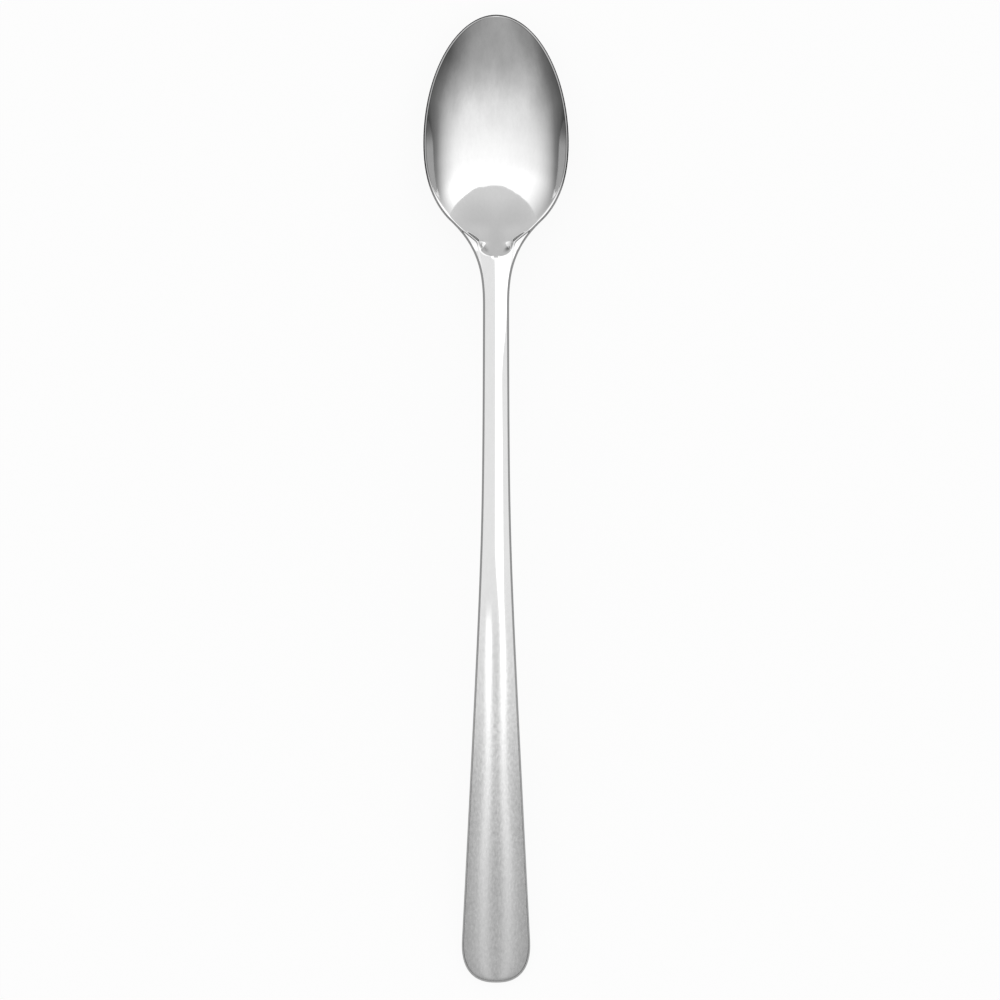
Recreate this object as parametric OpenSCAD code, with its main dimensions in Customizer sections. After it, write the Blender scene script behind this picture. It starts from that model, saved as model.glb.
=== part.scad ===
// Iced tea spoon, stamped and rolled from one piece of stainless steel.
// It lies face up on its bowl and its handle end: +Y runs to the bowl tip, +Z is up,
// and the origin is under its middle, on the table. Every section is worked out from
// the outline seen from above, the side curve and the thickness of the metal.

/* [Overall] */
// Length from the bowl tip to the handle end
length = 190; // [170:1:215]
// Heights of the points that pull the side curve, from the bowl tip to the handle end
side_heights = [8.3, 8.2, 5.8, 16.2, 24.6, 19.8, 12.8, 8.6, 2.1]; // [1:0.1:28]

/* [Bowl] */
// Widest width of the bowl
bowl_width = 28.5; // [24:0.5:32]
// Distance from the bowl tip to the widest place
bowl_front = 25; // [22:0.5:28]
// Length of the half egg behind the widest place
bowl_rear = 18.8; // [17:0.1:21]
// Fullness of the outline towards the tip, where 2 is an ellipse
front_fullness = 1.97; // [1.8:0.01:2.2]
// Fullness of the outline towards the neck
rear_fullness = 2.24; // [2:0.01:2.5]
// Depths of the hollow at points that pull its floor curve, from the tip to the lip
hollow_depths = [0, 4.2, 7.4, 9, 4.1, 0]; // [0:0.1:11]
// Distance from the bowl tip to the lip where the hollow runs out on the neck
hollow_length = 47.3; // [46.5:0.1:48.5]
// Half-widths at points that pull the outline of the hollow's egg, from the tip to the neck
hollow_widths = [12.9, 13.1, 15.2, 9.9, 20.8, 9.5]; // [9:0.1:22]
// Distance from the bowl tip to where the hollow's egg closes
hollow_egg_length = 44.6; // [44:0.1:46]
// Half-width of the throat, the narrow run of the hollow from its egg to the lip
throat_width = 3.4; // [2:0.1:3.8]
// Powers of the side walls' curve at points that pull it, from the tip to the lip, where 2
// is a parabola and a higher one has a flatter floor and steeper sides
wall_powers = [2, 2.55, 1.35, 2, 4.75, 0.8, 1.3]; // [0.8:0.05:5]
// Power added to the walls at the lip, which flattens the floor of the throat
throat_power = 3; // [0:0.1:3.5]
// Width of the rim round the hollow
rim_width = 0.12; // [0.1:0.02:0.6]
// Thickness of the metal at the rim
rim_thickness = 1.1; // [0.8:0.05:1.5]
// Thickness of the metal at the floor of the bowl
floor_thickness = 1.4; // [1:0.05:2]

/* [Neck] */
// Distance from the bowl tip to where the neck leaves the egg
neck_start = 40.5; // [39:0.1:41.5]
// Distance from the bowl tip to where the neck becomes the stem
neck_end = 58.9; // [54:0.1:64]
// Distance from the bowl tip over which the heel fades into the back of the bowl
heel_reach = 35; // [32:1:38]
// Half-width of the heel's ridge on the back of the neck
heel_width = 4.5; // [3:0.1:6]
// Drop of the step where the bowl's rim ends on the face of the neck
step_drop = 0.3; // [0.05:0.01:0.35]
// Half-width of the step at its bend, beside the throat
step_width = 3.64; // [3:0.02:4.5]
// Distance from the bowl tip to the step's bend
step_reach = 44.6; // [44:0.1:45.5]

/* [Stem and handle] */
// Width of the stem at its narrowest
stem_width = 4.9; // [4:0.1:6]
// Gain in half-width for each millimetre of the handle
handle_flare = 0.052; // [0.035:0.001:0.065]
// Distance from the bowl tip to the middle of the stem's flare into the handle
flare_start = 101.3; // [90:0.1:115]
// Softness of the change from stem to handle
flare_softness = 19; // [10:0.5:30]
// Length of the rounded end
end_length = 8.7; // [6:0.1:12]
// Fullness of the rounded end, where 2 is an ellipse
end_fullness = 2.43; // [2:0.01:3]
// Thickness at points that pull the thickness curve, from the neck to the handle end
strap_thickness = [3, 2.2, 1.9, 1.5]; // [1.4:0.1:3.4]
// Height of the crown on the face, as a share of the half-width
crown_share = 0.08; // [0:0.01:0.12]
// Thickness at the side edges, as a share of the middle's
edge_share = 0.8; // [0.7:0.05:0.95]
// Width of the rounded edges, seen from above
edge_round = 0.45; // [0.2:0.05:0.6]
// Fullness of the rounded edges, where 2 is an ellipse and a lower one is nearer a chamfer
edge_fullness = 1.6; // [1.3:0.05:2.2]

/* [Hidden] */

// Lines of points along the spoon, and points across its face, back and edges
FRONT_LINES = 20;
REAR_LINES = 16;
NECK_LINES = 20;
STRAP_LINES = 28;
END_LINES = 12;
FACE_SPANS = 22;
BACK_SPANS = 14;
EDGE_SPANS = 6;

// How far the soft corners stand off the sharp ones: hollow to rim, and bowl back to
// strap back, at the rim and at the heel
FACE_SOFTNESS = 0.04;
RIM_SOFTNESS = 0.15;
HEEL_SOFTNESS = 1.3;
// Least half-width of a section, and least half-width and depth of the hollow, which keep
// their ends from dividing by zero
LEAST_WIDTH = 0.01;
LEAST_HOLLOW = 0.2;
LEAST_DEPTH = 0.045;
// Most that the hollow's surface rises outside the hollow, as a multiple of its depth
MOST_RISE = 400;
// How softly the hollow's egg closes, as a share of its full section
EGG_SOFTNESS = 0.03;
// Lengths over which the throat opens at the lip and fades out ahead of its front, and the
// front's distance from the bowl tip
THROAT_RUN = 2.4;
THROAT_FADE = 12;
THROAT_FRONT = 44;
// Distance from the bowl tip where the walls' added power starts, and the length over which
// it grows
POWER_FRONT = 40;
POWER_RUN = 10;
// The step's gain in half-width for each millimetre towards the tip, behind its bend and
// ahead of it, the softness of the bend, and the width of its slope
STEP_BEHIND = 0.15;
STEP_AHEAD = 1.3;
STEP_SOFTNESS = 0.15;
STEP_WIDTH = 0.45;
// Share of the drop left behind the bend, and the lengths over which it falls to that
// share and then to nothing
STEP_REST = 0.25;
STEP_FALL = 2;
STEP_FADE = 8;
// Steepest slope that the back of the bowl follows, and the step that slopes are read over
STEEPEST = 2;
SLOPE_STEP = 0.02;
// Places along the hollow at which its deepest one is looked for
DEPTH_STEPS = 40;

tip_y = length / 2;
bowl_y = tip_y - bowl_front;
neck_y = tip_y - neck_start;
stem_y = tip_y - neck_end;
flare_y = tip_y - flare_start;
end_y = end_length - length / 2;
hollow_front_y = tip_y - rim_width;
hollow_half_length = (hollow_length - rim_width) / 2;
hollow_y = hollow_front_y - hollow_half_length;
lip_y = tip_y - hollow_length;
hollow_egg_half_length = (hollow_egg_length - rim_width) / 2;
hollow_egg_y = hollow_front_y - hollow_egg_half_length;
throat_front_y = tip_y - THROAT_FRONT;
power_front_y = tip_y - POWER_FRONT;
step_y = tip_y - step_reach;
deepest = max([for (i = [0:DEPTH_STEPS]) bezier(hollow_depths, i / DEPTH_STEPS)]);
heel_front_y = tip_y - heel_reach;

function bezier(pulls, t) =
    len(pulls) == 1
        ? pulls[0]
        : bezier([for (i = [0:len(pulls) - 2]) pulls[i] * (1 - t) + pulls[i + 1] * t], t);

function clamp01(t) = max(0, min(1, t));
function ease(t) = t * t * t * (10 - 15 * t + 6 * t * t);
function mix(a, b, t) = a + (b - a) * t;

// The lower and the higher of two heights with a soft corner
function soft_min(a, b, softness) = (a + b) / 2 - sqrt(pow((a - b) / 2, 2) + softness * softness);
function soft_max(a, b, softness) = -soft_min(-a, -b, softness);

// Half-width of the bowl's egg
function egg_half(y) =
    let (
        front = y > bowl_y,
        fullness = front ? front_fullness : rear_fullness,
        share = front ? (y - bowl_y) / bowl_front : (bowl_y - y) / bowl_rear
    )
    bowl_width / 2 * pow(max(0, 1 - pow(clamp01(share), fullness)), 1 / fullness);

// Half-width of the stem and handle, a straight stem that bends softly into a straight flare
function strap_half(y) =
    let (run = flare_y - y)
    stem_width / 2 + handle_flare / 2 * (run + sqrt(run * run + flare_softness * flare_softness));

// Share of the width that the rounded handle end leaves
function end_share(y) =
    pow(max(0, 1 - pow(clamp01((end_y - y) / end_length), end_fullness)), 1 / end_fullness);

// Half-width of the neck, a cubic that takes over the egg's slope and the stem's
function neck_half(y) =
    let (
        run = neck_y - stem_y,
        t = (y - stem_y) / run,
        share = t * t * (3 - 2 * t),
        stem_slope = (strap_half(stem_y + SLOPE_STEP) - strap_half(stem_y)) / SLOPE_STEP,
        egg_slope = (egg_half(neck_y + SLOPE_STEP) - egg_half(neck_y)) / SLOPE_STEP,
        stem_lead = run * stem_slope * t * (1 - t) * (1 - t),
        egg_lead = run * egg_slope * t * t * (1 - t)
    )
    mix(strap_half(stem_y), egg_half(neck_y), share) + stem_lead - egg_lead;

function half_width(y) =
    y > neck_y ? egg_half(y)
    : y > stem_y ? neck_half(y)
    : strap_half(y) * end_share(y);

// Height of the rim and of the strap's side edges along the spoon
function side_height(y) = bezier(side_heights, clamp01((tip_y - y) / length));

// 1 on the stem, fading to 0 in the bowl
function heel_share(y) = ease(clamp01((heel_front_y - y) / (heel_front_y - stem_y)));

// Half-width of the hollow: an egg that closes softly on the neck, and the throat behind it
function hollow_half(y) =
    let (
        v = (y - hollow_egg_y) / hollow_egg_half_length,
        share = soft_max(0, 1 - v * v, EGG_SOFTNESS / 2),
        egg = bezier(hollow_widths, clamp01((1 - v) / 2)),
        opening = 1 - pow(1 - clamp01((y - lip_y) / THROAT_RUN), 2),
        fading = 1 - ease(clamp01((y - throat_front_y) / THROAT_FADE)),
        throat = throat_width * throat_width * opening * fading
    )
    sqrt(egg * egg * share + throat + LEAST_HOLLOW * LEAST_HOLLOW);

// Depth of the hollow's floor below the rim, which runs straight on past the tip and the lip.
// v is 1 at the tip's end of the hollow and -1 at the lip
function hollow_depth(v) =
    let (
        last_pull = len(hollow_depths) - 1,
        past_tip = max(0, v - 1) * last_pull / 2 * hollow_depths[1],
        past_lip = max(0, -1 - v) * last_pull / 2 * hollow_depths[last_pull - 1]
    )
    bezier(hollow_depths, clamp01((1 - v) / 2)) - past_tip - past_lip;

// Height of the hollow's surface, which rises past the rim outside the hollow
function hollow_height(x, y) =
    let (
        v = (y - hollow_y) / hollow_half_length,
        depth = hollow_depth(v),
        wall = soft_max(0, depth, LEAST_DEPTH / 2),
        added = throat_power * ease(clamp01((power_front_y - y) / POWER_RUN)),
        power = bezier(wall_powers, clamp01((1 - v) / 2)) + added,
        rise = min(MOST_RISE, pow(abs(x) / hollow_half(y), power))
    )
    side_height(y) - depth + wall * rise;

function hollow_slope(x, y) =
    let (
        along = hollow_height(x, y + SLOPE_STEP) - hollow_height(x, y - SLOPE_STEP),
        across = hollow_height(x + SLOPE_STEP, y) - hollow_height(x - SLOPE_STEP, y)
    )
    norm([along, across]) / (2 * SLOPE_STEP);

// Height of the crown across the strap, which fades out in the bowl
function crown_height(x, y) =
    let (
        half = max(LEAST_WIDTH, half_width(y)),
        across = clamp01(abs(x) / half)
    )
    crown_share * half * heel_share(y) * (1 - across * across);

// Depth of the step where the bowl's rim ends: it follows the rim and then bends to run
// beside the throat, where it dies away
function step_depth(x, y) =
    let (
        run = y - step_y,
        line = step_width + soft_max(STEP_BEHIND * run, STEP_AHEAD * run, STEP_SOFTNESS),
        kept = mix(STEP_REST, 1, ease(clamp01((run + STEP_FALL) / STEP_FALL))),
        fading = ease(clamp01((run + STEP_FADE + STEP_FALL) / STEP_FADE))
    )
    step_drop * kept * fading * ease(clamp01((abs(x) - line) / STEP_WIDTH + 0.5));

// Height of the face: the crowned strap and the rim, with the hollow pressed into them
function face_height(x, y) =
    soft_min(side_height(y) + crown_height(x, y) - step_depth(x, y), hollow_height(x, y), FACE_SOFTNESS);

// Thickness of the strap, which thins towards its side edges, and in the bowl to the rim's
function strap_depth(x, y) =
    let (
        along = clamp01((neck_y - y) / (neck_y + length / 2)),
        middle = bezier(strap_thickness, along),
        ridge = exp(-pow(x / heel_width, 2)),
        strap = middle * mix(edge_share, 1, ridge)
    )
    mix(rim_thickness, strap, heel_share(y));

// Height of the back: the strap's back runs as a heel into the back of the bowl
function back_height(x, y) =
    let (
        strap_back = side_height(y) + crown_height(x, y) - strap_depth(x, y),
        inside = hollow_height(x, y),
        sunk = clamp01((side_height(y) - inside) / deepest),
        wall = mix(rim_thickness, floor_thickness, sunk),
        slope = min(STEEPEST, hollow_slope(x, y)),
        softness = mix(RIM_SOFTNESS, HEEL_SOFTNESS, heel_share(y))
    )
    soft_min(strap_back, inside - wall * sqrt(1 + slope * slope), softness);

// Outline from the bowl tip down the right-hand side to the handle end, as [half-width, y]
outline_y = concat(
    [for (i = [1:FRONT_LINES]) bowl_y + bowl_front * cos(90 * i / FRONT_LINES)],
    [for (i = [1:REAR_LINES]) mix(bowl_y, neck_y, i / REAR_LINES)],
    [for (i = [1:NECK_LINES]) mix(neck_y, stem_y, i / NECK_LINES)],
    [for (i = [1:STRAP_LINES]) mix(stem_y, end_y, i / STRAP_LINES)],
    [for (i = [1:END_LINES - 1]) end_y - end_length * sin(90 * i / END_LINES)]
);
outline = concat([[0, tip_y]], [for (y = outline_y) [half_width(y), y]], [[0, -tip_y]]);
last = len(outline) - 1;

function mirrored(p) = [-p[0], p[1]];

// Outward direction of the outline, square to the line between its neighbours
function outward(i) =
    let (
        before = i == 0 ? mirrored(outline[1]) : outline[i - 1],
        after = i == last ? mirrored(outline[last - 1]) : outline[i + 1],
        run = after - before
    )
    [-run[1], run[0]] / norm(run);

// Sine or cosine of the angle round an edge, drawn towards a chamfer
function eased(t) = sign(t) * pow(abs(t), 2 / edge_fullness);

// A point drawn in from the outline by the share of the edge's rounding at the angle
function edge_spot(i, angle) = outline[i] - outward(i) * edge_round * (1 - eased(cos(angle)));

function face_point(x, y) = [x, y, face_height(x, y)];
function back_point(x, y) = [x, y, back_height(x, y)];

function edge_point(i, angle, side) =
    let (
        spot = edge_spot(i, angle),
        top = face_height(spot[0], spot[1]),
        bottom = back_height(spot[0], spot[1])
    )
    [side * spot[0], spot[1], mix(bottom, top, (1 + eased(sin(angle))) / 2)];

// One closed loop of points: over the face, round the right edge, under the back, round the left
function section(i) =
    let (inner = edge_spot(i, 90))
    concat(
        [for (k = [0:FACE_SPANS]) face_point(inner[0] * sin(mix(-90, 90, k / FACE_SPANS)), inner[1])],
        [for (k = [1:EDGE_SPANS - 1]) edge_point(i, mix(90, -90, k / EDGE_SPANS), 1)],
        [for (k = [0:BACK_SPANS]) back_point(inner[0] * sin(mix(90, -90, k / BACK_SPANS)), inner[1])],
        [for (k = [1:EDGE_SPANS - 1]) edge_point(i, mix(-90, 90, k / EDGE_SPANS), -1)]
    );

sections = [for (i = [0:last]) section(i)];
ring = len(sections[0]);
lowest = min([for (s = sections) for (p = s) p[2]]);

// The two triangles between neighbouring points of neighbouring sections
function patch(i, k) =
    let (
        here = i * ring + k,
        beside = i * ring + (k + 1) % ring,
        below = here + ring,
        across = beside + ring
    )
    [[here, across, below], [here, beside, across]];

// The whole spoon: bowl, neck, stem and handle in one piece of metal
module spoon() {
    color("silver")
        polyhedron(
            points = [for (s = sections) for (p = s) p - [0, 0, lowest]],
            faces = [for (i = [0:last - 1]) for (k = [0:ring - 1]) each patch(i, k)],
            convexity = 6
        );
}

spoon();
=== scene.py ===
"""Iced tea spoon: a mirror-polished bowl and stem whose handle fades to satin, on a white floor."""

import math
from types import SimpleNamespace

import bmesh
import bpy
import numpy as np
from bpy.props import FloatProperty, FloatVectorProperty, PointerProperty
from bpy.types import Operator, Panel, PropertyGroup
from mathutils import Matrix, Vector


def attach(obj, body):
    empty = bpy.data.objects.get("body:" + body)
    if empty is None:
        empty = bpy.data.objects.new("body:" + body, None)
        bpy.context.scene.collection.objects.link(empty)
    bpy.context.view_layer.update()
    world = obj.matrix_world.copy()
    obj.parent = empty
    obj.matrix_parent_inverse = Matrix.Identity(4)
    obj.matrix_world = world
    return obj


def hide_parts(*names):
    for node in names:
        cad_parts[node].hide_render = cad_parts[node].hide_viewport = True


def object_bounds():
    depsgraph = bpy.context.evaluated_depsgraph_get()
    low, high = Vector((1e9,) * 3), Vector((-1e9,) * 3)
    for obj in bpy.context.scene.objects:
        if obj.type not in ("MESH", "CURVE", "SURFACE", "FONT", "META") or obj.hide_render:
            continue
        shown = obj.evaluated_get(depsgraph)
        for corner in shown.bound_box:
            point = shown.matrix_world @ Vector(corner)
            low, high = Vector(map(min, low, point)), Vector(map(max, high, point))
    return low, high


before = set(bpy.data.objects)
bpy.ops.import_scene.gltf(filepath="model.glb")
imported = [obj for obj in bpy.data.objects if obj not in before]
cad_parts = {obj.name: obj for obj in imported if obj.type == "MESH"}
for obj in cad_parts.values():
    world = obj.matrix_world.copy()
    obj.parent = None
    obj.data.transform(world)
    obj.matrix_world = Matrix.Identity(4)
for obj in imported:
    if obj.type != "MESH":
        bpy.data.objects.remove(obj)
CAD_LOW, CAD_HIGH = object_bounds()

bl_info = {
    "name": "Iced tea spoon",
    "version": (1, 0, 0),
    "blender": (4, 5, 0),
    "location": "3D View > Sidebar > Iced tea spoon",
    "description": "Makes an iced tea spoon, its steel and a small white studio",
    "category": "Object",
}

# The spoon's sizes that its settings leave out, in metres where they are lengths

# Control values of its curves, from the bowl's tip to the handle's end or the lip
SIDE_HEIGHTS = (0.0083, 0.0082, 0.0058, 0.0162, 0.0246, 0.0198, 0.0128, 0.0086, 0.0021)
HOLLOW_DEPTHS = (0.0, 0.0042, 0.0074, 0.009, 0.0041, 0.0)
HOLLOW_WIDTHS = (0.0129, 0.0131, 0.0152, 0.0099, 0.0208, 0.0095)
STRAP_THICKNESS = (0.003, 0.0022, 0.0019, 0.0015)
WALL_POWERS = (2.0, 2.55, 1.35, 2.0, 4.75, 0.8, 1.3)

# How far the soft corners stand off the sharp ones
FACE_SOFTNESS = 0.00004
RIM_SOFTNESS = 0.00015
HEEL_SOFTNESS = 0.0013
# How softly the hollow's egg closes, as a share of its full section
EGG_SOFTNESS = 0.015
# Least half width of a section, and least half width and depth of the hollow
LEAST_WIDTH = 0.00001
LEAST_HOLLOW = 0.0002
LEAST_DEPTH = 0.0000225
# Most that the hollow's surface rises outside the hollow, as a multiple of its depth
MOST_RISE = 400
# Lengths over which the throat opens at the lip and fades out ahead of its front, and the front's
# distance from the bowl's tip
THROAT_RUN = 0.0024
THROAT_FADE = 0.012
THROAT_FRONT = 0.044
# Distance from the tip where the walls' added power starts, and the length over which it grows
POWER_FRONT = 0.04
POWER_RUN = 0.01
# The step's gain in half width for each length behind its bend and ahead of it, the softness of
# the bend, the width of its slope, the share of its drop left behind the bend, and the lengths
# over which it falls to that share and then to nothing
STEP_BEHIND = 0.15
STEP_AHEAD = 1.3
STEP_SOFTNESS = 0.00015
STEP_WIDTH = 0.00045
STEP_REST = 0.25
STEP_FALL = 0.002
STEP_FADE = 0.008
# Steepest slope that the back of the bowl follows, and the step that slopes are read over
STEEPEST = 2
SLOPE_STEP = 0.00002
# Places along the hollow at which its deepest one is looked for
DEPTH_PLACES = 41
# Distances from the tip between which the grid is closest, over the lip
LIP_FRONT = 0.036
LIP_REAR = 0.052
# Points that are nearer than this are joined
MERGE_DISTANCE = 1e-7
# Width of the rim's band of painted shade and of its soft inner edge, the place along the spoon where it
# sets in and the length over which it does, and the step that the outline's slope is read over
RIM_SHADE_BAND = 0.0005
RIM_SHADE_BAND_EDGE = 0.00015
RIM_SHADE_REAR = 0.057
RIM_SHADE_REAR_FADE = 0.009
RIM_STEP = 0.00001

# Shader values. A pair of places says where a change starts and where it ends, and a pair of
# levels what it leads from and to.

STEEL = SimpleNamespace(
    # How far marks are drawn out along the spoon: 1 is round, and less is longer
    grain_draw=0.4,
    stain_draw=0.35,
    hairline_draw=0.03,
    # Range that holds most of a noise's values, and the part of it that shows as hairlines
    noise=(0.3, 0.7),
    hairline_noise=(0.55, 0.7),
    # Factors of the roughness over the grain and in the hairlines
    uneven=(0.85, 1.15),
    scratched=(1.0, 1.5),
    # Places between which the stains set in, and weight of the streaks behind and in front
    stained=(0.066, 0.084),
    streak_weight=(0.4, 1.0),
    # The painted dark reflections beside the throat: their middle, the lean of their sides, where each sets
    # in and ends across and along the spoon, and how the streaks thin and deepen them
    painted_reflection_middle=0.0495,
    painted_reflection_lean=0.45,
    painted_reflection_across=((0.0014, 0.0026), (0.0026, 0.0037)),
    painted_reflection_along=((0.0479, 0.0495), (0.0496, 0.0513)),
    painted_reflection_noise=(0.42, 0.6),
    painted_reflection_dark=(0.35, 0.85),
)

FLOOR = SimpleNamespace(
    # Places where the painted shadow in the floor's mirror image changes from the stem's level to the
    # bowl's, and where its brightness grows by a factor towards the handle's end
    under_bowl=(0.054, 0.062),
    along_handle=(-0.07, 0.0),
    handle_gain=(1.4, 1.0),
    # Distances to the side over which the mirror image's painted shadow gives way to full brightness
    far=(0.06, 0.3),
    # Share of plain white that the camera sees over the lit floor
    white=0.92,
)

BOX = SimpleNamespace(
    # Height over the floor, front, place where it widens, rear, and half widths over the stem and
    # over the handle
    height=0.035,
    front=0.0565,
    middle=0.0,
    rear=-0.13,
    stem_half=0.012,
    handle_half=0.022,
    # Factor of the places across it, which draws its pattern out towards the handle's end
    widened=((-0.095, -0.05), (0.62, 1.0)),
    # Grey ground, and the share lost in the wings to its sides and in its middle over the handle
    ground=((-0.105, -0.01), (0.56, 0.95)),
    wings=(0.006, 0.011),
    wing_places=(-0.085, -0.045),
    wing_share=0.22,
    middle_across=((0.0008, 0.003), (1.0, 0.0)),
    middle_along=((-0.04, -0.02), (0.13, 0.0)),
    # Places where the right tube's left edge moves over the stem, and where that edge lies
    over_stem=(-0.035, -0.005),
    left_edge=(0.0022, -0.0004),
    # The right tube's right edge over the stem, and what is added to it at the neck
    right_edge=((-0.045, -0.015), (0.0052, 0.0041)),
    right_edge_at_neck=((0.028, 0.05), (0.0, 0.0045)),
    tube_softness=0.0006,
    # Where the left tube sets in and ends across the box, and where it ends along it
    left_tube=((-0.0058, -0.0048), (-0.0028, -0.0018)),
    left_tube_end=((-0.035, -0.02), (1.0, 0.0)),
    # Brightness of the tubes over the ground
    tubes=((-0.125, -0.03), (0.22, 0.8)),
)

# The dome's curves are (place, level) stops along one part of the direction, from -1 to 1
DOME = SimpleNamespace(
    # Height of the horizon, by the direction along the spoon
    horizon=(
        (-0.75, 0.26), (-0.6, 0.36), (-0.5, 0.42), (-0.4, 0.42), (-0.3, 0.37), (-0.2, 0.28), (-0.1, 0.23),
        (0.0, 0.2), (0.2, 0.16), (0.4, 0.1), (0.6, 0.02),
    ),
    # Brightness by the height over that horizon
    rise=(
        (-0.2, 0.08), (-0.15, 0.15), (-0.11, 0.18), (-0.08, 0.22), (-0.05, 0.25), (-0.02, 0.32),
        (0.02, 0.42), (0.07, 0.54), (0.13, 0.66), (0.2, 0.77), (0.28, 0.87), (0.36, 0.95), (0.44, 1.0),
        (0.8, 1.0),
    ),
    # Factor by the direction along the spoon, and factors by the direction across it: one in
    # front of the rear places and the other behind them
    along=(
        (-0.75, 0.29), (-0.65, 0.29), (-0.55, 0.37), (-0.45, 0.49), (-0.35, 0.59), (-0.25, 0.64),
        (-0.15, 0.67), (-0.05, 0.7), (0.05, 0.74), (0.15, 0.77), (0.25, 0.8), (0.35, 0.82), (0.45, 0.87),
        (0.55, 0.96),
    ),
    across=((-0.9, 0.8), (-0.6, 0.9), (-0.3, 0.95), (0.0, 1.0), (0.3, 1.04), (0.6, 1.01), (0.9, 0.9)),
    across_rear=((-0.9, 0.92), (-0.6, 0.91), (-0.3, 0.94), (0.0, 0.99), (0.3, 0.9), (0.5, 0.82), (0.7, 0.69)),
    rear=((-0.55, -0.25), (1.0, 0.0)),
    # Brightness that all these are taken times
    gain=1.5,
    # A brighter window to the front right
    window_across=(0.35, 0.7),
    window_along=((0.48, 0.68), (0.0, 0.35)),
    # Edge of the grey card in front, by the direction across, its softness and its own levels
    card_edge=(
        (-0.75, 0.785), (-0.6, 0.772), (-0.45, 0.742), (-0.3, 0.706), (-0.15, 0.664), (0.0, 0.634),
        (0.15, 0.653), (0.3, 0.67), (0.45, 0.703), (0.6, 0.73), (0.75, 0.736),
    ),
    card_softness=0.005,
    card_grey=((0.66, 0.92), (0.77, 0.61)),
    # Glossy Depth past which a reflection is a second one, and the share of light lost in it
    second=1.5,
    second_loss=((-0.1, 0.12), (0.85, 0.56)),
    # Width of the map that the renderer samples the dome by
    sample_map=512,
)

# Distance that the camera sees
CAMERA_REACH = 20


# Settings


def length(name, description, default, largest=1.0):
    """A property that holds a size in metres."""
    return FloatProperty(
        name=name, description=description, default=default, min=0.0, max=largest, precision=5, unit="LENGTH"
    )


def place(name, description, default):
    """A property that holds a place along the spoon in metres."""
    return FloatProperty(name=name, description=description, default=default, precision=5, unit="LENGTH")


def share(name, description, default, largest=1.0):
    """A property that holds a part of a whole."""
    return FloatProperty(
        name=name, description=description, default=default, min=0.0, max=largest, subtype="FACTOR"
    )


def number(name, description, default):
    """A property that holds a plain number above zero."""
    return FloatProperty(name=name, description=description, default=default, min=0.0, precision=3)


def colour(name, description, default):
    """A property that holds a colour."""
    return FloatVectorProperty(
        name=name, description=description, default=default, min=0.0, max=1.0, size=3, subtype="COLOR"
    )


def curve_of(name, description, default, unit="LENGTH"):
    """A property that holds the control values of a curve."""
    return FloatVectorProperty(
        name=name, description=description, default=default, size=len(default), precision=5, unit=unit
    )


class SpoonShape(PropertyGroup):
    """Sizes of the spoon, the same as those of its solid."""

    length: length("Length", "Tip of the bowl to the end of the handle", CAD_HIGH.y - CAD_LOW.y)
    side_heights: curve_of(
        "Side heights", "Control heights of the side's curve from the tip to the handle's end", SIDE_HEIGHTS
    )
    bowl_width: length("Bowl width", "Across the bowl where it is widest", CAD_HIGH.x - CAD_LOW.x)
    bowl_front: length("Bowl front", "Tip to the widest place", 0.025)
    bowl_rear: length("Bowl rear", "Widest place to where the egg would close", 0.0188)
    front_fullness: number("Front fullness", "2 is an ellipse, more is squarer", 1.97)
    rear_fullness: number("Rear fullness", "2 is an ellipse, more is squarer", 2.24)
    hollow_depths: curve_of(
        "Hollow depths", "Control depths of the hollow's floor from its front to its lip", HOLLOW_DEPTHS
    )
    hollow_length: length("Hollow length", "Tip to the lip at the neck", 0.0473)
    hollow_widths: curve_of(
        "Hollow widths", "Control half widths of the hollow's egg from its front to the neck", HOLLOW_WIDTHS
    )
    hollow_egg_length: length("Hollow egg length", "Tip to where the hollow's egg closes", 0.0446)
    throat_width: length("Throat width", "Half width of the hollow's narrow run to the lip", 0.0034)
    wall_powers: curve_of(
        "Wall powers", "Control powers of the hollow's walls from its front to its lip", WALL_POWERS, "NONE"
    )
    throat_power: number("Throat power", "Power added to the throat's walls, which flattens its floor", 3.0)
    rim_width: length("Rim width", "Width of the rim in front of the hollow, at the tip", 0.00012)
    rim_thickness: length("Rim thickness", "Metal at the rim", 0.0011)
    floor_thickness: length("Floor thickness", "Metal at the floor of the bowl", 0.0014)
    neck_start: length("Neck start", "Tip to where the egg leaves off", 0.0405)
    neck_end: length("Neck end", "Tip to where the stem begins", 0.0589)
    heel_reach: length("Heel reach", "Tip to where the metal begins to thicken", 0.035)
    heel_width: length("Heel width", "Half width of the thick middle", 0.0045)
    step_drop: length("Step drop", "Drop of the face where the bowl's rim ends on the neck", 0.0003)
    step_width: length("Step width", "Half width of the step at its bend", 0.00364)
    step_reach: length("Step reach", "Tip to the step's bend", 0.0446)
    stem_width: length("Stem width", "Across the stem", 0.0049)
    handle_flare: share("Handle flare", "Half width gained for each length along the handle", 0.052)
    flare_start: length("Flare start", "Tip to where the handle widens", 0.1013)
    flare_softness: length("Flare softness", "Length over which the widening sets in", 0.019)
    end_length: length("End length", "Rounded end of the handle", 0.0087)
    end_fullness: number("End fullness", "2 is an ellipse, more is squarer", 2.43)
    strap_thickness: curve_of(
        "Strap thickness", "Control thicknesses from the neck to the handle's end", STRAP_THICKNESS
    )
    crown_share: share("Crown", "Rise of the handle's face as a share of its half width", 0.08)
    edge_share: share("Edge share", "Thickness of the stem's edge against its middle", 0.8)
    edge_round: length("Edge rounding", "Width of the rounded edge seen from above", 0.00045, 0.001)
    edge_fullness: number("Edge fullness", "Fullness of the rounded edges, where 2 is an ellipse", 1.6)


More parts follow.
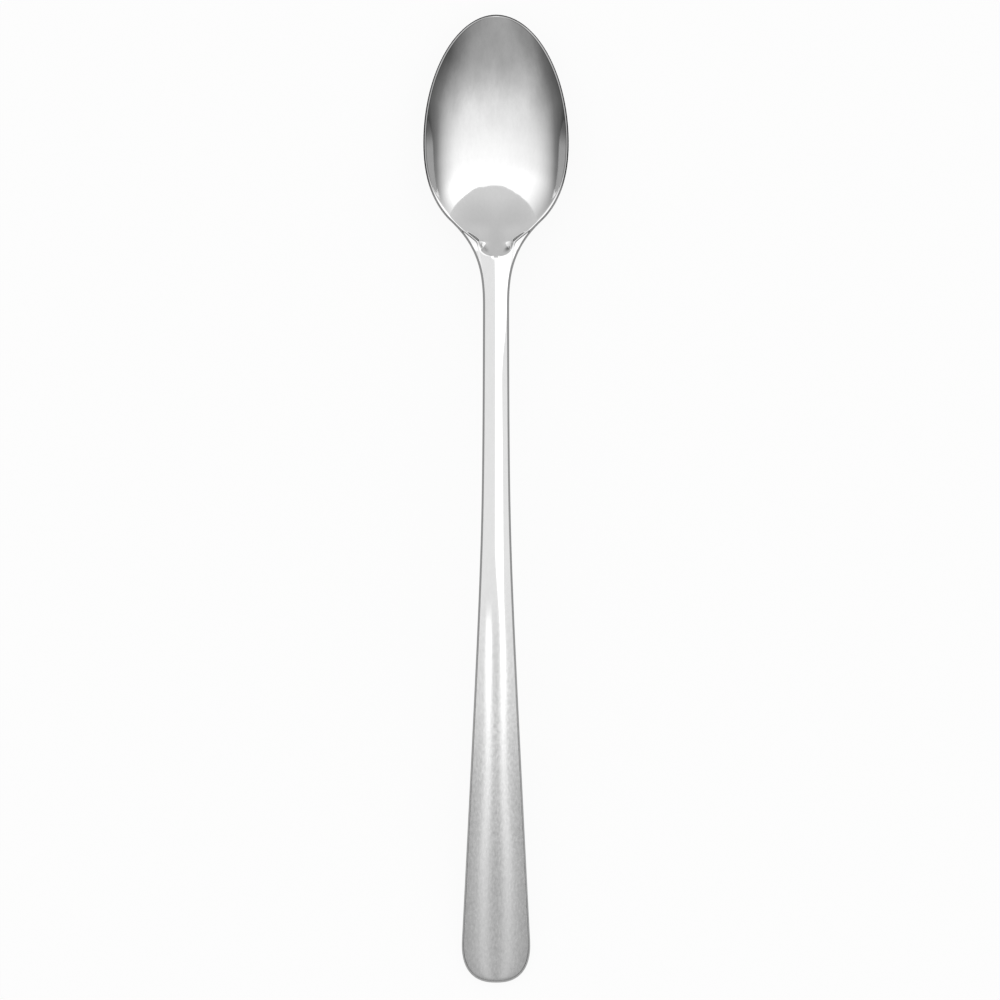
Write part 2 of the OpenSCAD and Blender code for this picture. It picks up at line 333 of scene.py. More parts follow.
class SteelFinish(PropertyGroup):
    """Colours and polish of the stainless steel."""

    bright: colour("Polished steel", "Colour of the mirror-polished metal", (0.80, 0.80, 0.80))
    satin: colour("Satin steel", "Colour of the handle's satin metal", (0.74, 0.74, 0.74))
    polish: share("Polish", "Roughness of the mirror polish", 0.05)
    satin_roughness: share("Satin roughness", "Roughness at the end of the handle", 0.19)
    satin_start: place("Satin start", "Place along the spoon where the satin begins", 0.0)
    satin_full: place("Satin full", "Place along the spoon where the satin is full", -0.06)
    grain: length("Grain", "Size of the satin's grain", 0.0004, 0.01)
    # Painted shade: the rim's colour is taken times this factor, which draws the thin grey line along the
    # bowl's edge
    rim: share("Rim", "Brightness of the bowl's less polished rim against the polished metal", 0.48)
    stain: length("Stain", "Size of the streaks in the faint stains at the bowl's front", 0.0006, 0.01)
    staining: share("Staining", "How much the stains change the metal's colour", 0.1)
    streaks: share("Streaks", "How much the streaks along the bowl change the metal's colour", 0.035)
    mottle: share("Mottle", "How much the satin's grain changes the metal's colour", 0.09)
    hairline: length("Hairline", "Width of the finest polishing lines", 0.00006, 0.01)
    grain_depth: length("Grain depth", "Depth of the satin's grain", 0.000002, 0.001)


class StudioSettings(PropertyGroup):
    """The floor, the lights and the camera."""

    floor: colour("Floor", "Colour of the floor", (0.9, 0.9, 0.9))
    floor_size: length("Floor size", "Across the floor", 4.0, 20.0)
    # Levels of the painted shadow that the floor glows with in reflections near the bowl and near the stem
    under: share("Floor under the bowl", "Brightness of the floor near the bowl in its mirror images", 0.06)
    beside: share("Floor under the stem", "Brightness of the floor near the stem in its mirror images", 0.33)
    dome: number("Dome", "Brightness of the soft light overhead", 1.0)
    box: number("Light box", "Brightness of the box over the stem and handle", 1.0)
    lens: FloatProperty(name="Lens", description="Focal length", default=500.0, min=1.0, unit="CAMERA")
    picture: length("Picture", "Width and height that the picture covers at the spoon", 0.196)
    centre: FloatVectorProperty(
        name="Centre",
        description="Point over which the camera hangs",
        default=(0.00078, -0.00016, 0.008),
        size=3,
        precision=5,
        subtype="XYZ",
        unit="LENGTH",
    )


# The spoon's surfaces


def curve(heights, along):
    """A smooth curve drawn by control values: each is weighted by its Bernstein polynomial."""
    last = len(heights) - 1
    return sum(math.comb(last, k) * h * along**k * (1 - along) ** (last - k) for k, h in enumerate(heights))


def ease(t):
    """0 to 1 with no slope and no bend at either end: t cubed times (10 - 15 t + 6 t squared)."""
    return t**3 * (10 - 15 * t + 6 * t * t)


def mix(a, b, t):
    """The value a share t of the way from a to b."""
    return a + (b - a) * t


def held(t):
    """t kept within 0 and 1."""
    return np.clip(t, 0, 1)


def soft_lower(a, b, softness):
    """The lower of a and b, rounded where they meet.

    It is their mean less the root of half their gap squared plus the softness squared."""
    return (a + b) / 2 - np.sqrt(((a - b) / 2) ** 2 + softness**2)


def soft_higher(a, b, softness):
    """The higher of a and b, rounded where they meet."""
    return -soft_lower(-a, -b, softness)


def spoon_surfaces(shape):
    """Gathers the sizes and gives the functions half, face and back of the spoon.

    half(y) is half the outline's width, face(x, y) and back(x, y) are the heights of the upper and the
    lower surface, and tip, widest and end are places along the spoon."""
    tip = shape.length / 2
    widest, neck_top, stem_top = tip - shape.bowl_front, tip - shape.neck_start, tip - shape.neck_end
    flare, end = tip - shape.flare_start, shape.end_length - tip
    hollow_half = (shape.hollow_length - shape.rim_width) / 2
    hollow_mid = tip - shape.rim_width - hollow_half
    egg_half_length = (shape.hollow_egg_length - shape.rim_width) / 2
    egg_mid = tip - shape.rim_width - egg_half_length
    lip = tip - shape.hollow_length
    heel_front = tip - shape.heel_reach
    deepest = curve(shape.hollow_depths, np.linspace(0, 1, DEPTH_PLACES)).max()

    def egg(y):
        """Superellipse with its own length and fullness in front of and behind the widest place."""
        front = y > widest
        power = np.where(front, shape.front_fullness, shape.rear_fullness)
        out = np.where(front, (y - widest) / shape.bowl_front, (widest - y) / shape.bowl_rear)
        return shape.bowl_width / 2 * np.maximum(0, 1 - held(out) ** power) ** (1 / power)

    def strap(y):
        """Half width of the stem, plus a widening that sets in along a hyperbola."""
        run = flare - y
        bent = run + np.sqrt(run**2 + shape.flare_softness**2)
        return shape.stem_width / 2 + shape.handle_flare / 2 * bent

    def rounded_end(y):
        """Share of the width left in the handle's rounded end, a superellipse."""
        left = 1 - held((end - y) / shape.end_length) ** shape.end_fullness
        return np.maximum(0, left) ** (1 / shape.end_fullness)

    def neck(y):
        """Hermite curve between the stem and the egg that takes over the slope of each."""
        run = neck_top - stem_top
        t = held((y - stem_top) / run)
        low, high = strap(stem_top), egg(neck_top)
        low_slope = (strap(stem_top + SLOPE_STEP) - low) / SLOPE_STEP
        high_slope = (egg(neck_top + SLOPE_STEP) - high) / SLOPE_STEP
        leads = run * low_slope * t * (1 - t) ** 2 - run * high_slope * t * t * (1 - t)
        return mix(low, high, t * t * (3 - 2 * t)) + leads

    def half(y):
        """Half width of the outline: the egg, the neck behind it, and the strap up to its rounded end."""
        return np.where(y > neck_top, egg(y), np.where(y > stem_top, neck(y), strap(y) * rounded_end(y)))

    def side(y):
        """Height of the rim and of the strap's side edges, a drawn curve over the whole length."""
        return curve(shape.side_heights, held((tip - y) / shape.length))

    def heel(y):
        """0 in the thin bowl, rising to 1 in the stem and handle."""
        return ease(held((heel_front - y) / (heel_front - stem_top)))

    def hollow_width(y):
        """Half width of the hollow: the root of its egg's square, which closes softly, and its throat's."""
        v = (y - egg_mid) / egg_half_length
        closing = soft_higher(0, 1 - v * v, EGG_SOFTNESS)
        egg_square = curve(shape.hollow_widths, held((1 - v) / 2)) ** 2 * closing
        opening = 1 - (1 - held((y - lip) / THROAT_RUN)) ** 2
        throat = opening * (1 - ease(held((y - tip + THROAT_FRONT) / THROAT_FADE)))
        return np.sqrt(egg_square + shape.throat_width**2 * throat + LEAST_HOLLOW**2)

    def hollow(x, y):
        """Dish of the bowl: a drawn curve along it, and a power of the share of its width across it."""
        v = (y - hollow_mid) / hollow_half
        pulls = shape.hollow_depths
        past = np.maximum(0, v - 1) * pulls[1] + np.maximum(0, -1 - v) * pulls[-2]
        depth = curve(pulls, held((1 - v) / 2)) - past * (len(pulls) - 1) / 2
        power = curve(shape.wall_powers, held((1 - v) / 2))
        power = power + shape.throat_power * ease(held((tip - POWER_FRONT - y) / POWER_RUN))
        rise = np.minimum(MOST_RISE, (np.abs(x) / hollow_width(y)) ** power)
        return side(y) - depth + soft_higher(0, depth, LEAST_DEPTH) * rise

    def step_down(x, y):
        """Low step that follows the bowl's rim over the neck, bends and dies away beside the throat."""
        run = y - tip + shape.step_reach
        line = shape.step_width + soft_higher(STEP_BEHIND * run, STEP_AHEAD * run, STEP_SOFTNESS)
        kept = mix(STEP_REST, 1, ease(held((run + STEP_FALL) / STEP_FALL)))
        fading = ease(held((run + STEP_FADE + STEP_FALL) / STEP_FADE))
        return shape.step_drop * kept * fading * ease(held((np.abs(x) - line) / STEP_WIDTH + 0.5))

    def crown(x, y):
        """Low arch across the stem and handle, highest in the middle."""
        wide = np.maximum(LEAST_WIDTH, half(y))
        return shape.crown_share * wide * heel(y) * (1 - held(np.abs(x) / wide) ** 2)

    def face(x, y):
        """The lower of the crowned strap with its step and the hollow."""
        return soft_lower(side(y) + crown(x, y) - step_down(x, y), hollow(x, y), FACE_SOFTNESS)

    def metal(x, y):
        """Thickness: the rim's in the bowl, and in the strap its own curve, less towards the edges."""
        along = held((neck_top - y) / (neck_top + tip))
        middle = curve(shape.strap_thickness, along)
        across = mix(shape.edge_share, 1, np.exp(-((x / shape.heel_width) ** 2)))
        return mix(shape.rim_thickness, middle * across, heel(y))

    def back(x, y):
        """The lower of the strap's underside and the bowl's, which lies a wall square below the hollow."""
        under_strap = side(y) + crown(x, y) - metal(x, y)
        dish = hollow(x, y)
        sunk = held((side(y) - dish) / deepest)
        wall = mix(shape.rim_thickness, shape.floor_thickness, sunk)
        along = hollow(x, y + SLOPE_STEP) - hollow(x, y - SLOPE_STEP)
        across = hollow(x + SLOPE_STEP, y) - hollow(x - SLOPE_STEP, y)
        steep = np.hypot(along, across) / (2 * SLOPE_STEP)
        under_bowl = dish - wall * np.sqrt(1 + np.minimum(STEEPEST, steep) ** 2)
        return soft_lower(under_strap, under_bowl, mix(RIM_SOFTNESS, HEEL_SOFTNESS, heel(y)))

    return SimpleNamespace(half=half, face=face, back=back, tip=tip, widest=widest, end=end)


def stations(shape, surfaces, front=130, rear=40, lip=150, strap=140, end=60):
    """Places along the spoon, close together round both ends and over the lip at the neck.

    Round the ends they follow the cosine or sine of an even angle, and between them they are even."""
    lip_front, lip_rear = surfaces.tip - LIP_FRONT, surfaces.tip - LIP_REAR
    front_turn, end_turn = (np.linspace(0, math.pi / 2, count) for count in (front, end))
    parts = (
        surfaces.widest + shape.bowl_front * np.cos(front_turn),
        np.linspace(surfaces.widest, lip_front, rear)[1:],
        np.linspace(lip_front, lip_rear, lip)[1:],
        np.linspace(lip_rear, surfaces.end, strap)[1:],
        (surfaces.end - shape.end_length * np.sin(end_turn))[1:],
    )
    return np.concatenate(parts)


def spoon_mesh(shape, face_spans=96, back_spans=40, edge_spans=14):
    """Points and faces of the spoon, a grid of stations along it by places round its section.

    Round a section the grid crosses the face from left to right, goes round the right edge, crosses the
    back from right to left and goes round the left edge. Round an edge the angle falls from a quarter turn
    to minus a quarter. Its cosine and sine, raised to 2 over the edge's fullness, say how near a point is
    to the outline and how near to the face. Across the face and back the places follow the sine of an even
    angle, so they crowd at the rim."""
    surfaces = spoon_surfaces(shape)
    y = stations(shape, surfaces)
    half = surfaces.half(y)
    half[[0, -1]] = 0
    outline = np.stack([half, y], 1)
    along = np.gradient(outline, axis=0)
    along[[0, -1], 1] = 0
    along[0, 0], along[-1, 0] = 1, -1
    outward = np.stack([-along[:, 1], along[:, 0]], 1)
    outward /= np.linalg.norm(outward, axis=1)[:, None]
    angle = np.linspace(math.pi / 2, -math.pi / 2, edge_spans + 1)
    near, high = (np.sign(t) * np.abs(t) ** (2 / shape.edge_fullness) for t in (np.cos(angle), np.sin(angle)))
    inset = shape.edge_round * (1 - near)
    edge_x = outline[:, :1] - outward[:, :1] * inset
    edge_y = outline[:, 1:] - outward[:, 1:] * inset
    edge_z = mix(surfaces.back(edge_x, edge_y), surfaces.face(edge_x, edge_y), (1 + high) / 2)

    def across(spans, surface):
        """One surface from the left inner line to the right one, without its two ends."""
        turn = np.sin(np.linspace(-math.pi / 2, math.pi / 2, spans + 1))[1:-1]
        x = edge_x[:, :1] * turn
        level_y = np.broadcast_to(edge_y[:, :1], x.shape)
        return np.stack([x, level_y, surface(x, level_y)], 2)

    right = np.stack([edge_x, edge_y, edge_z], 2)
    left = (right * (-1, 1, 1))[:, ::-1]
    rings = np.concatenate(
        [across(face_spans, surfaces.face), right, across(back_spans, surfaces.back)[:, ::-1], left], 1
    )
    rings[..., 2] -= rings[..., 2].min()

    rows, columns = rings.shape[:2]
    here = np.arange(rows * columns).reshape(rows, columns)
    beside = np.roll(here, -1, axis=1)
    faces = np.stack([here[:-1], here[1:], beside[1:], beside[:-1]], 2).reshape(-1, 4)
    return rings.reshape(-1, 3), faces


def mesh_object(name, points, faces):
    """A smooth object of these points and four-sided faces, with doubled points joined."""
    mesh = bpy.data.meshes.new(name)
    mesh.from_pydata(points, [], faces)
    build = bmesh.new()
    build.from_mesh(mesh)
    bmesh.ops.remove_doubles(build, verts=build.verts, dist=MERGE_DISTANCE)
    build.to_mesh(mesh)
    build.free()
    mesh.shade_smooth()
    made = bpy.data.objects.new(name, mesh)
    bpy.context.scene.collection.objects.link(made)
    return made


def mark_rim_shade(mesh, shape):
    """Stores how much of each point lies in the rim's painted shade: 1 by the bowl's outline, 0 a little way
    in and at the neck.

    The distance in from the outline is half the width less the distance from the middle, over the root of
    1 plus the square of the outline's slope."""
    surfaces = spoon_surfaces(shape)
    places = np.empty(len(mesh.vertices) * 3, np.float32)
    mesh.vertices.foreach_get("co", places)
    x, y = np.abs(places[0::3]).astype(float), places[1::3].astype(float)
    slope = (surfaces.half(y + RIM_STEP) - surfaces.half(y - RIM_STEP)) / (2 * RIM_STEP)
    inward = (surfaces.half(y) - x) / np.sqrt(1 + slope**2)
    outer = 1 - ease(held((inward - RIM_SHADE_BAND) / RIM_SHADE_BAND_EDGE))
    rim = outer * ease(held((y - RIM_SHADE_REAR) / RIM_SHADE_REAR_FADE))
    mesh.attributes.new("rim", "FLOAT", "POINT").data.foreach_set("value", rim.astype(np.float32))


# Nodes


def add(tree, kind, values=None, links=None, **settings):
    """Adds a node, sets its settings and its inputs' values, and links other nodes' outputs to its inputs."""
    node = tree.nodes.new(kind)
    for name, value in settings.items():
        setattr(node, name, value)
    for name, value in (values or {}).items():
        node.inputs[name].default_value = value
    for name, output in (links or {}).items():
        tree.links.new(output, node.inputs[name])
    return node


def calculate(tree, operation, a, b=None):
    """A Math node's output, where a and b are each an output or a number."""
    node = tree.nodes.new("ShaderNodeMath")
    node.operation = operation
    for socket, value in zip(node.inputs, (a, b)):
        if isinstance(value, bpy.types.NodeSocket):
            tree.links.new(value, socket)
        elif value is not None:
            socket.default_value = value
    return node.outputs[0]


def product(tree, *factors):
    """The factors multiplied, each an output or a number."""
    made = factors[0]
    for factor in factors[1:]:
        made = calculate(tree, "MULTIPLY", made, factor)
    return made


def less(tree, a, b):
    """b taken from a, each an output or a number."""
    return calculate(tree, "SUBTRACT", a, b)


def plus(tree, a, b):
    """a and b added, each an output or a number."""
    return calculate(tree, "ADD", a, b)


def stretch(tree, value, places, levels=(0.0, 1.0), smooth=True):
    """Leads from the first level to the second while value goes from the first place to the second."""
    node = add(
        tree,
        "ShaderNodeMapRange",
        {"From Min": places[0], "From Max": places[1], "To Min": levels[0], "To Max": levels[1]},
        {"Value": value},
        interpolation_type="SMOOTHERSTEP" if smooth else "LINEAR",
    )
    return node.outputs["Result"]


def band(tree, value, rise, fall):
    """1 between two pairs of places: it leads up over the first and down over the second."""
    return product(tree, stretch(tree, value, rise), stretch(tree, value, fall, (1.0, 0.0)))


def profile(tree, value, stops):
    """A smooth curve through (place, level) stops, as a colour ramp that reads value from -1 to 1."""
    ramp = add(tree, "ShaderNodeValToRGB", links={"Fac": stretch(tree, value, (-1, 1), smooth=False)})
    ramp.color_ramp.interpolation = "CARDINAL"
    elements = ramp.color_ramp.elements
    while len(elements) < len(stops):
        elements.new(0.5)
    for element, (place_of_stop, level) in zip(elements, stops):
        element.position = (place_of_stop + 1) / 2
        element.color = (level, level, level, 1)
    return ramp.outputs["Color"]


def blend(tree, a, b, share_of_b):
    """The number a share of the way from a to b, where all three are outputs or numbers."""
    node = tree.nodes.new("ShaderNodeMix")
    for name, value in (("A", a), ("B", b), ("Factor", share_of_b)):
        if isinstance(value, bpy.types.NodeSocket):
            tree.links.new(value, node.inputs[name])
        else:
            node.inputs[name].default_value = value
    return node.outputs["Result"]


def empty_tree(owner):
    """The node tree of a material or of the world, with no nodes."""
    owner.use_nodes = True
    owner.node_tree.nodes.clear()
    return owner.node_tree


def object_place(tree):
    """The output that gives a point's place in its object, and the three outputs that give its parts."""
    whole = add(tree, "ShaderNodeTexCoord").outputs["Object"]
    return whole, add(tree, "ShaderNodeSeparateXYZ", links={0: whole}).outputs


def seen_straight(tree, rays):
    """1 for rays from the camera or through glass, and 0 for the rest."""
    return calculate(tree, "MAXIMUM", rays["Is Camera Ray"], rays["Is Transmission Ray"])


def new_group(name, inputs, outputs):
    """A new node group with named inputs and outputs, and its two end nodes."""
    tree = bpy.data.node_groups.new(name, "ShaderNodeTree")
    for label, kind, default in inputs:
        socket = tree.interface.new_socket(label, in_out="INPUT", socket_type=kind)
        if default is not None:
            socket.default_value = default
    for label in outputs:
        tree.interface.new_socket(label, in_out="OUTPUT", socket_type="NodeSocketFloat")
    return tree, tree.nodes.new("NodeGroupInput"), tree.nodes.new("NodeGroupOutput")


# The steel


def grain_group(coarser=6.0):
    """Fine mottled grain, drawn out along the spoon, and a cloud of the same kind but coarser."""
    tree, start, end = new_group(
        "Satin grain",
        (
            ("Vector", "NodeSocketVector", None),
            ("Scale", "NodeSocketFloat", 1500.0),
            ("Draw", "NodeSocketFloat", STEEL.grain_draw),
        ),
        ("Height", "Cloud"),
    )
    squeeze = add(tree, "ShaderNodeCombineXYZ", {"X": 1.0, "Z": 1.0}, {"Y": start.outputs["Draw"]})
    drawn = add(
        tree,
        "ShaderNodeVectorMath",
        links={0: start.outputs["Vector"], 1: squeeze.outputs[0]},
        operation="MULTIPLY",
    )
    scale = start.outputs["Scale"]
    for label, detail, roughness, size in (
        ("Height", 3.0, 0.6, scale),
        ("Cloud", 2.0, 0.5, calculate(tree, "DIVIDE", scale, coarser)),
    ):
        noise = add(
            tree,
            "ShaderNodeTexNoise",
            {"Detail": detail, "Roughness": roughness},
            {"Vector": drawn.outputs[0], "Scale": size},
        )
        tree.links.new(noise.outputs["Fac"], end.inputs[label])
    return tree


def marks(tree, kind, place_output, size, draw):
    """The Height and Cloud outputs of a grain group, for marks of this size that are drawn out this far."""
    return add(
        tree, "ShaderNodeGroup", {"Scale": 1 / size, "Draw": draw}, {"Vector": place_output}, node_tree=kind
    ).outputs


def steel_roughness(tree, finish, satin, grain, hairs):
    """The polish's roughness leading to the satin's, uneven with the grain and raised in the hairlines."""
    even = stretch(tree, satin, (0, 1), (finish.polish, finish.satin_roughness), smooth=False)
    uneven = stretch(tree, grain["Height"], STEEL.noise, STEEL.uneven, smooth=False)
    scratched = stretch(tree, hairs["Height"], STEEL.hairline_noise, STEEL.scratched, smooth=False)
    return product(tree, even, uneven, scratched)


def throat_painted_reflections(tree, x, y, stains):
    """Share of the colour lost in the painted dark reflections to each side of the throat, two soft leaning
    spots.
    """
    lean = product(tree, less(tree, y, STEEL.painted_reflection_middle), STEEL.painted_reflection_lean)
    aside = less(tree, calculate(tree, "ABSOLUTE", x), lean)
    spots = product(tree, band(tree, aside, *STEEL.painted_reflection_across), band(tree, y, *STEEL.painted_reflection_along))
    return product(tree, spots, stretch(tree, stains["Height"], STEEL.painted_reflection_noise, STEEL.painted_reflection_dark))


def steel_tone(tree, finish, parts, satin, grain, stains):
    """Factor of the metal's colour: mottled satin, streaks, stains, painted dark reflections beside the
    throat and painted shade on the rim.
    """
    stained = stretch(tree, parts["Y"], STEEL.stained)
    cloud = stretch(tree, stains["Cloud"], STEEL.noise, (-finish.staining, finish.staining), smooth=False)
    streak = stretch(tree, stains["Height"], STEEL.noise, (-finish.streaks, finish.streaks), smooth=False)
    weight = stretch(tree, stained, (0, 1), STEEL.streak_weight, smooth=False)
    change = plus(tree, product(tree, cloud, stained), product(tree, streak, weight))
    mottle = stretch(tree, grain["Height"], STEEL.noise, (1 - finish.mottle, 1 + finish.mottle), smooth=False)
    tone = plus(tree, change, blend(tree, 1.0, mottle, satin))
    # Painted dark reflections beside the throat darken the metal's colour here
    tone = product(tree, tone, less(tree, 1.0, throat_painted_reflections(tree, parts["X"], parts["Y"], stains)))
    # Painted shade: the rim's band darkens the metal's colour
    rim = add(tree, "ShaderNodeAttribute", attribute_name="rim").outputs["Fac"]
    return product(tree, tone, stretch(tree, rim, (0, 1), (1.0, finish.rim), smooth=False))


def steel_material(finish):
    """Stainless steel whose mirror polish fades to a satin grain along the handle."""
    material = bpy.data.materials.new("polished_steel")
    tree = empty_tree(material)
    whole, parts = object_place(tree)
    satin = stretch(tree, parts["Y"], (finish.satin_start, finish.satin_full))
    kind = grain_group()
    grain = marks(tree, kind, whole, finish.grain, STEEL.grain_draw)
    stains = marks(tree, kind, whole, finish.stain, STEEL.stain_draw)
    hairs = marks(tree, kind, whole, finish.hairline, STEEL.hairline_draw)
    plain = add(
        tree,
        "ShaderNodeMix",
        {"A": (*finish.bright, 1), "B": (*finish.satin, 1)},
        {"Factor": satin},
        data_type="RGBA",
    )
    metal = add(
        tree,
        "ShaderNodeMix",
        {"Factor": 1.0},
        {"A": plain.outputs["Result"], "B": steel_tone(tree, finish, parts, satin, grain, stains)},
        data_type="RGBA",
        blend_type="MULTIPLY",
    )
    depth = product(tree, grain["Height"], satin, finish.grain_depth)
    bump = add(tree, "ShaderNodeBump", {"Strength": 1.0, "Distance": 1.0}, {"Height": depth})
    shader = add(
        tree,
        "ShaderNodeBsdfPrincipled",
        {"Metallic": 1.0},
        {
            "Base Color": metal.outputs["Result"],
            "Roughness": steel_roughness(tree, finish, satin, grain, hairs),
            "Normal": bump.outputs["Normal"],
        },
    )
    add(tree, "ShaderNodeOutputMaterial", links={"Surface": shader.outputs["BSDF"]})
    return material


# The studio


def floor_material(studio):
    """Matt floor that keeps the spoon's shadow and that the camera and glass see nearly white.

    In metal it glows with a painted shadow: dim near the spoon, dimmest near the bowl, and white further out."""
    material = bpy.data.materials.new("white_floor")
    tree = empty_tree(material)
    rays = add(tree, "ShaderNodeLightPath").outputs
    parts = object_place(tree)[1]
    # Painted shadow: the floor's glow as reflections see it, dim near the spoon
    near = stretch(tree, parts["Y"], FLOOR.under_bowl, (studio.beside, studio.under))
    near = product(tree, near, stretch(tree, parts["Y"], FLOOR.along_handle, FLOOR.handle_gain))
    far = stretch(tree, calculate(tree, "ABSOLUTE", parts["X"]), FLOOR.far)
    reflected_painted_shadow = product(tree, rays["Is Glossy Ray"], calculate(tree, "MAXIMUM", near, far))
    seen = seen_straight(tree, rays)
    strength = calculate(tree, "MAXIMUM", seen, reflected_painted_shadow)
    glowing = calculate(tree, "MAXIMUM", product(tree, seen, FLOOR.white), rays["Is Glossy Ray"])
    matt = add(tree, "ShaderNodeBsdfDiffuse", {"Color": (*studio.floor, 1)})
    white = add(tree, "ShaderNodeEmission", {"Color": (1, 1, 1, 1)}, {"Strength": strength})
    surface = add(tree, "ShaderNodeMixShader", links={0: glowing, 1: matt.outputs[0], 2: white.outputs[0]})
    add(tree, "ShaderNodeOutputMaterial", links={"Surface": surface.outputs[0]})
    return material


def box_ground(tree, x, y):
    """The light box's grey ground, dimmer in its wings and in its middle over the handle."""
    aside = calculate(tree, "ABSOLUTE", x)
    over_handle = product(tree, stretch(tree, y, BOX.wing_places, (1.0, 0.0)), BOX.wing_share)
    wings = product(tree, stretch(tree, aside, BOX.wings), over_handle)
    middle = product(tree, stretch(tree, aside, *BOX.middle_across), stretch(tree, y, *BOX.middle_along))
    return product(tree, stretch(tree, y, *BOX.ground), less(tree, 1.0, plus(tree, wings, middle)))


def box_tubes(tree, x, y):
    """The light box's two tubes: the right one along all of it, and the left one over the handle alone."""
    soft = (-BOX.tube_softness, BOX.tube_softness)
    over_stem = stretch(tree, y, BOX.over_stem)
    left_edge = stretch(tree, over_stem, (0, 1), BOX.left_edge, smooth=False)
    right_edge = plus(tree, stretch(tree, y, *BOX.right_edge), stretch(tree, y, *BOX.right_edge_at_neck))
    inside_left = stretch(tree, less(tree, x, left_edge), soft)
    inside_right = stretch(tree, less(tree, right_edge, x), soft)
    right_tube = product(tree, inside_left, inside_right)
    left_tube = product(tree, band(tree, x, *BOX.left_tube), stretch(tree, y, *BOX.left_tube_end))
    return product(tree, plus(tree, right_tube, left_tube), stretch(tree, y, *BOX.tubes))


def box_material(studio):
    """Underside of the light box: a soft grey ground with two brighter tubes, fading towards its rear."""
    material = bpy.data.materials.new("light_box")
    tree = empty_tree(material)
    parts = object_place(tree)[1]
    y = parts["Y"]
    x = product(tree, parts["X"], stretch(tree, y, *BOX.widened))
    strength = product(tree, plus(tree, box_ground(tree, x, y), box_tubes(tree, x, y)), studio.box)
    glow = add(tree, "ShaderNodeEmission", {"Color": (1, 1, 1, 1)}, {"Strength": strength})
    add(tree, "ShaderNodeOutputMaterial", links={"Surface": glow.outputs[0]})
    return material


def dome_light(tree, x, y, z):
    """Brightness of the dome: it rises over its horizon, falls off to the rear and the sides, and has a
    brighter window to the front right and a grey card beyond its front."""
    over_horizon = less(tree, z, profile(tree, y, DOME.horizon))
    lit = product(tree, profile(tree, over_horizon, DOME.rise), profile(tree, y, DOME.along), DOME.gain)
    behind = stretch(tree, y, *DOME.rear)
    sides = blend(tree, profile(tree, x, DOME.across), profile(tree, x, DOME.across_rear), behind)
    window = product(tree, stretch(tree, x, DOME.window_across), stretch(tree, y, *DOME.window_along))
    lit = product(tree, lit, sides, plus(tree, 1.0, window))
    past_edge = less(tree, y, profile(tree, x, DOME.card_edge))
    card = stretch(tree, past_edge, (-DOME.card_softness, DOME.card_softness))
    grey = product(tree, card, stretch(tree, y, *DOME.card_grey))
    return plus(tree, product(tree, lit, less(tree, 1.0, card)), grey)


def dome_world(studio):
    """Sky of the studio: white to the camera and glass, and to all else a soft dome.

    It is dimmer in second reflections, so that one side of the bowl darkens the other."""
    world = bpy.data.worlds.new("studio_dome")
    bpy.context.scene.world = world
    tree = empty_tree(world)
    direction = add(tree, "ShaderNodeTexCoord").outputs["Generated"]
    parts = add(tree, "ShaderNodeSeparateXYZ", links={0: direction}).outputs
    lit = product(tree, dome_light(tree, parts["X"], parts["Y"], parts["Z"]), studio.dome)
    rays = add(tree, "ShaderNodeLightPath").outputs
    again = calculate(tree, "GREATER_THAN", rays["Glossy Depth"], DOME.second)
    lost = product(tree, again, stretch(tree, parts["Y"], *DOME.second_loss))
    seen = seen_straight(tree, rays)
    strength = plus(tree, product(tree, lit, less(tree, 1.0, lost), less(tree, 1.0, seen)), seen)
    sky = add(tree, "ShaderNodeBackground", {"Color": (1, 1, 1, 1)}, {"Strength": strength})
    add(tree, "ShaderNodeOutputWorld", links={"Surface": sky.outputs[0]})
    world.cycles.sampling_method = "MANUAL"
    world.cycles.sample_map_resolution = DOME.sample_map


def rectangle(half_width, rear, front, height=0.0):
    """Corners of a level rectangle over the spoon's middle line, which faces up."""
    sides = ((-half_width, rear), (half_width, rear), (half_width, front), (-half_width, front))
    return [(x, y, height) for x, y in sides]


# Operators and panel


class SPOON_OT_make_spoon(Operator):
    """Makes the spoon, gives it its steel and puts it in place of the plain solid"""

    bl_idname = "spoon.make_spoon"
    bl_label = "Make spoon"

    def execute(self, context):
        settings = context.scene
        spoon = mesh_object("iced_tea_spoon", *spoon_mesh(settings.spoon_shape))
        mark_rim_shade(spoon.data, settings.spoon_shape)
        spoon.data.materials.append(steel_material(settings.steel_finish))
        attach(spoon, "root")
        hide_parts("spoon")
        return {"FINISHED"}


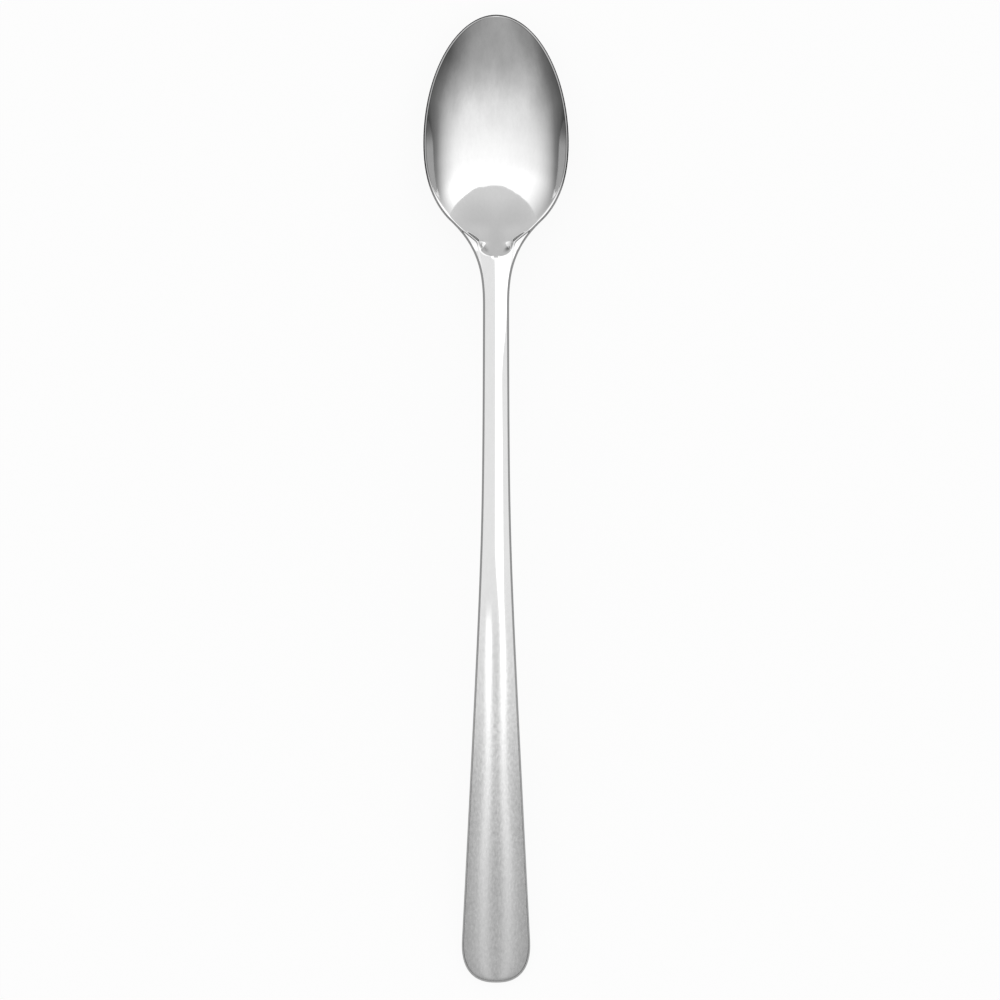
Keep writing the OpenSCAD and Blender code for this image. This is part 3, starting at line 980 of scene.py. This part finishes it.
class SPOON_OT_make_stage(Operator):
    """Makes the floor, the light box, the dome and the camera"""

    bl_idname = "spoon.make_stage"
    bl_label = "Make stage"

    def execute(self, context):
        studio = context.scene.spoon_studio
        reach = studio.floor_size / 2
        floor = mesh_object("floor", rectangle(reach, -reach, reach), [(0, 1, 2, 3)])
        floor.data.materials.append(floor_material(studio))
        over_stem = rectangle(BOX.stem_half, BOX.middle, BOX.front, BOX.height)
        over_handle = rectangle(BOX.handle_half, BOX.rear, BOX.middle, BOX.height)
        box = mesh_object("light_box", over_stem + over_handle, [(3, 2, 1, 0), (7, 6, 5, 4)])
        box.data.materials.append(box_material(studio))
        box.visible_camera = box.visible_diffuse = box.visible_shadow = False
        dome_world(studio)

        camera = bpy.data.cameras.new("camera")
        camera.lens = studio.lens
        camera.clip_end = CAMERA_REACH
        hung = bpy.data.objects.new("camera", camera)
        distance = studio.picture * studio.lens / camera.sensor_width
        hung.location = Vector(studio.centre) + Vector((0, 0, distance))
        context.scene.collection.objects.link(hung)
        context.scene.camera = hung
        context.scene.view_settings.view_transform = "Standard"
        return {"FINISHED"}


class SPOON_PT_panel(Panel):
    """Sizes, finish and studio of the iced tea spoon"""

    bl_idname = "SPOON_PT_panel"
    bl_label = "Iced tea spoon"
    bl_space_type = "VIEW_3D"
    bl_region_type = "UI"
    bl_category = "Iced tea spoon"

    def draw(self, context):
        for title, group_name, operator in (
            ("Shape", "spoon_shape", None),
            ("Steel", "steel_finish", "spoon.make_spoon"),
            ("Studio", "spoon_studio", "spoon.make_stage"),
        ):
            settings = getattr(context.scene, group_name)
            box = self.layout.box()
            box.label(text=title)
            for name in settings.__annotations__:
                box.prop(settings, name)
            if operator:
                box.operator(operator)


CLASSES = (SpoonShape, SteelFinish, StudioSettings, SPOON_OT_make_spoon, SPOON_OT_make_stage, SPOON_PT_panel)


def register():
    """Registers the classes and hangs the settings on the scene."""
    for one in CLASSES:
        bpy.utils.register_class(one)
    bpy.types.Scene.spoon_shape = PointerProperty(type=SpoonShape)
    bpy.types.Scene.steel_finish = PointerProperty(type=SteelFinish)
    bpy.types.Scene.spoon_studio = PointerProperty(type=StudioSettings)


def unregister():
    """Takes the settings off the scene and unregisters the classes."""
    del bpy.types.Scene.spoon_studio
    del bpy.types.Scene.steel_finish
    del bpy.types.Scene.spoon_shape
    for one in reversed(CLASSES):
        bpy.utils.unregister_class(one)


def main():
    """Registers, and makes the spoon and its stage."""
    register()
    bpy.ops.spoon.make_spoon()
    bpy.ops.spoon.make_stage()


if __name__ == "__main__":
    main()
